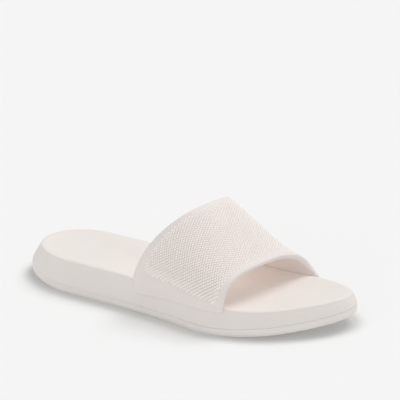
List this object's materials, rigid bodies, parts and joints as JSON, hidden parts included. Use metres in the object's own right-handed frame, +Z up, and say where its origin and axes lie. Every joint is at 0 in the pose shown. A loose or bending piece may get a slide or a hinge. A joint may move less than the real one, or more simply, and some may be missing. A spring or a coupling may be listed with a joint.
{
  "type": "slide_sandal",
  "caption": "Slide sandal for the right foot, moulded in off-white foam: contoured footbed on a thick sole and a wide dotted strap over the instep, open at toe and heel.",
  "frame": {"origin": "on the floor, below the middle of the slide's length and width", "axes": "+X from heel to toe, +Y to the inner (big toe) side, +Z up"},
  "size_m": [0.265, 0.0938, 0.0814],
  "materials": {
    "outsole": "matte",
    "midsole": "satin",
    "strap": "satin"
  },
  "bodies": {
    "root": {"outsole": "outsole", "midsole": "midsole", "strap": "strap"}
  },
  "joints": []
}
